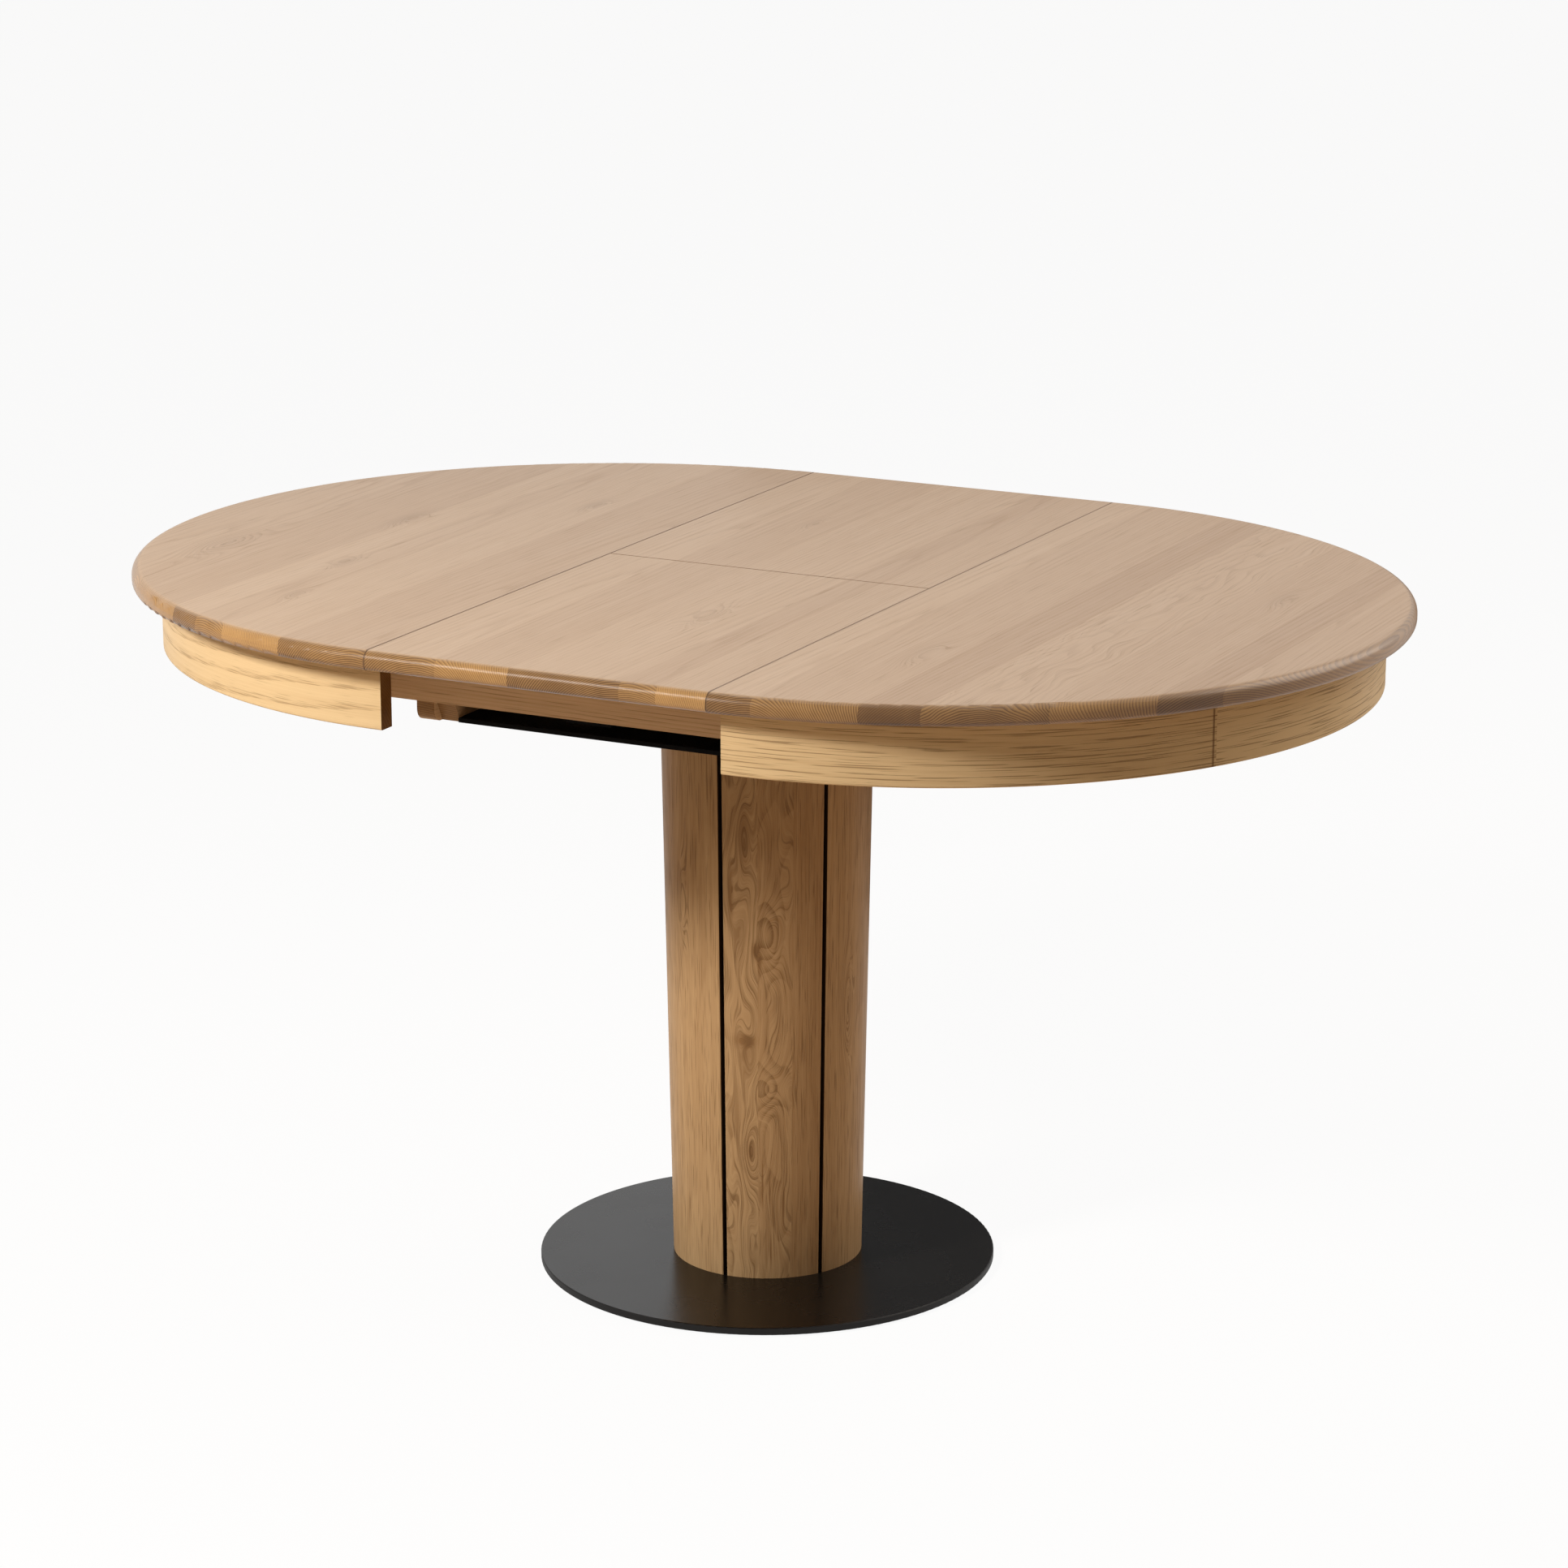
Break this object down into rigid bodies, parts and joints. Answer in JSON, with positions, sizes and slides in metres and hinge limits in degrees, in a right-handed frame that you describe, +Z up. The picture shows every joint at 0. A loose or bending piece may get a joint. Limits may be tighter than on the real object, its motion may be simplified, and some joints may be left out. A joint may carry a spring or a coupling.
{
  "type": "extending pedestal table",
  "caption": "Round oak pedestal table that draws apart along its middle, with a folding butterfly leaf, curved aprons, a round grooved column and a flat steel disc foot.",
  "frame": {"origin": "on the floor, under the middle of the table", "axes": "+X along the draw, towards the right half; -Y is the front; +Z up"},
  "size_m": [1.3718, 1, 0.76],
  "materials": {
    "oak_top": "oiled, satin",
    "oak_apron": "oiled, satin",
    "oak_column": "oiled, satin",
    "oak_frame": "sanded, matte",
    "black_steel": "powder coat, satin",
    "zinc_steel": "zinc plated",
    "brass": "satin",
    "nylon": "matte",
    "glide_plastic": "matte"
  },
  "bodies": {
    "pedestal": {"back_inner_rail": "oak_frame", "back_rail": "oak_frame", "base_plate": "black_steel", "column_panel_1": "oak_column", "column_panel_2": "oak_column", "column_panel_3": "oak_column", "column_panel_4": "oak_column", "column_panel_5": "oak_column", "column_panel_6": "oak_column", "column_tube": "black_steel", "floor_glides": "glide_plastic", "foot_bolts": "zinc_steel", "foot_flange": "zinc_steel", "front_inner_rail": "oak_frame", "front_rail": "oak_frame", "head_bolts": "zinc_steel", "head_flange": "zinc_steel", "left_cross_board": "oak_frame", "left_cross_lining": "oak_frame", "pinion_axles": "nylon", "pinion_brackets": "black_steel", "rail_dowels": "oak_frame", "rail_screws": "zinc_steel", "right_cross_board": "oak_frame", "right_cross_lining": "oak_frame", "storage_tray": "black_steel", "tray_lugs": "black_steel"},
    "leaf_back_half": {"back_hinge_barrels": "brass", "leaf_back": "oak_top"},
    "back_pinion": {"back_pinion": "nylon"},
    "leaf_front_half": {"front_hinge_barrels": "brass", "leaf_front": "oak_top", "leaf_lugs": "black_steel"},
    "front_pinion": {"front_pinion": "nylon"},
    "inner_arms": {"inner_arms": "black_steel"},
    "left_half": {"left_apron_back": "oak_apron", "left_apron_blocks": "oak_apron", "left_apron_front": "oak_apron", "left_apron_side": "oak_apron", "left_back_rack": "nylon", "left_back_runner": "oak_frame", "left_batten": "oak_frame", "left_front_rack": "nylon", "left_front_runner": "oak_frame", "left_runner_screws": "zinc_steel", "left_top": "oak_top"},
    "outer_arms": {"outer_arms": "black_steel"},
    "right_half": {"right_apron_back": "oak_apron", "right_apron_blocks": "oak_apron", "right_apron_front": "oak_apron", "right_apron_side": "oak_apron", "right_back_rack": "nylon", "right_back_runner": "oak_frame", "right_batten": "oak_frame", "right_front_rack": "nylon", "right_front_runner": "oak_frame", "right_runner_screws": "zinc_steel", "right_top": "oak_top"}
  },
  "joints": [
    {"name": "left_half_draw", "type": "slide", "parent": "pedestal", "child": "left_half", "axis": [-1, 0, 0], "range_m": [0, 0.04]},
    {"name": "right_half_draw", "type": "slide", "parent": "pedestal", "child": "right_half", "axis": [1, 0, 0], "range_m": [0, 0.04]},
    {"name": "front_pinion_spin", "type": "hinge", "parent": "pedestal", "child": "front_pinion", "pos_m": [0, -0.325, 0.723], "axis": [0, 0, -1], "range_deg": [0, 191.49]},
    {"name": "back_pinion_spin", "type": "hinge", "parent": "pedestal", "child": "back_pinion", "pos_m": [0, 0.325, 0.723], "axis": [0, 0, -1], "range_deg": [0, 191.49]},
    {"name": "leaf_swing", "type": "hinge", "parent": "pedestal", "child": "inner_arms", "pos_m": [0, 0.05917, 0.6757], "axis": [-1, 0, 0], "range_deg": [0, 155.62]},
    {"name": "outer_arm_swing", "type": "hinge", "parent": "pedestal", "child": "outer_arms", "pos_m": [0, -0.11083, 0.6757], "axis": [-1, 0, 0], "range_deg": [0, 156.12]},
    {"name": "leaf_level", "type": "hinge", "parent": "inner_arms", "child": "leaf_front_half", "pos_m": [0, -0.06, 0.7297], "axis": [1, 0, 0], "range_deg": [0, 156.12]},
    {"name": "leaf_fold", "type": "hinge", "parent": "leaf_front_half", "child": "leaf_back_half", "pos_m": [0, 0, 0.76015], "axis": [1, 0, 0], "range_deg": [0, 180.5]}
  ],
  "couplings": [
    {"joint": "right_half_draw", "follows": "left_half_draw", "ratio": 1},
    {"joint": "front_pinion_spin", "follows": "left_half_draw", "rad_per_m": 83.333},
    {"joint": "back_pinion_spin", "follows": "left_half_draw", "rad_per_m": 83.333},
    {"joint": "outer_arm_swing", "follows": "leaf_swing", "ratio": 1},
    {"joint": "leaf_level", "follows": "leaf_swing", "ratio": 1},
    {"joint": "leaf_fold", "follows": "leaf_swing", "ratio": 1.1566}
  ]
}
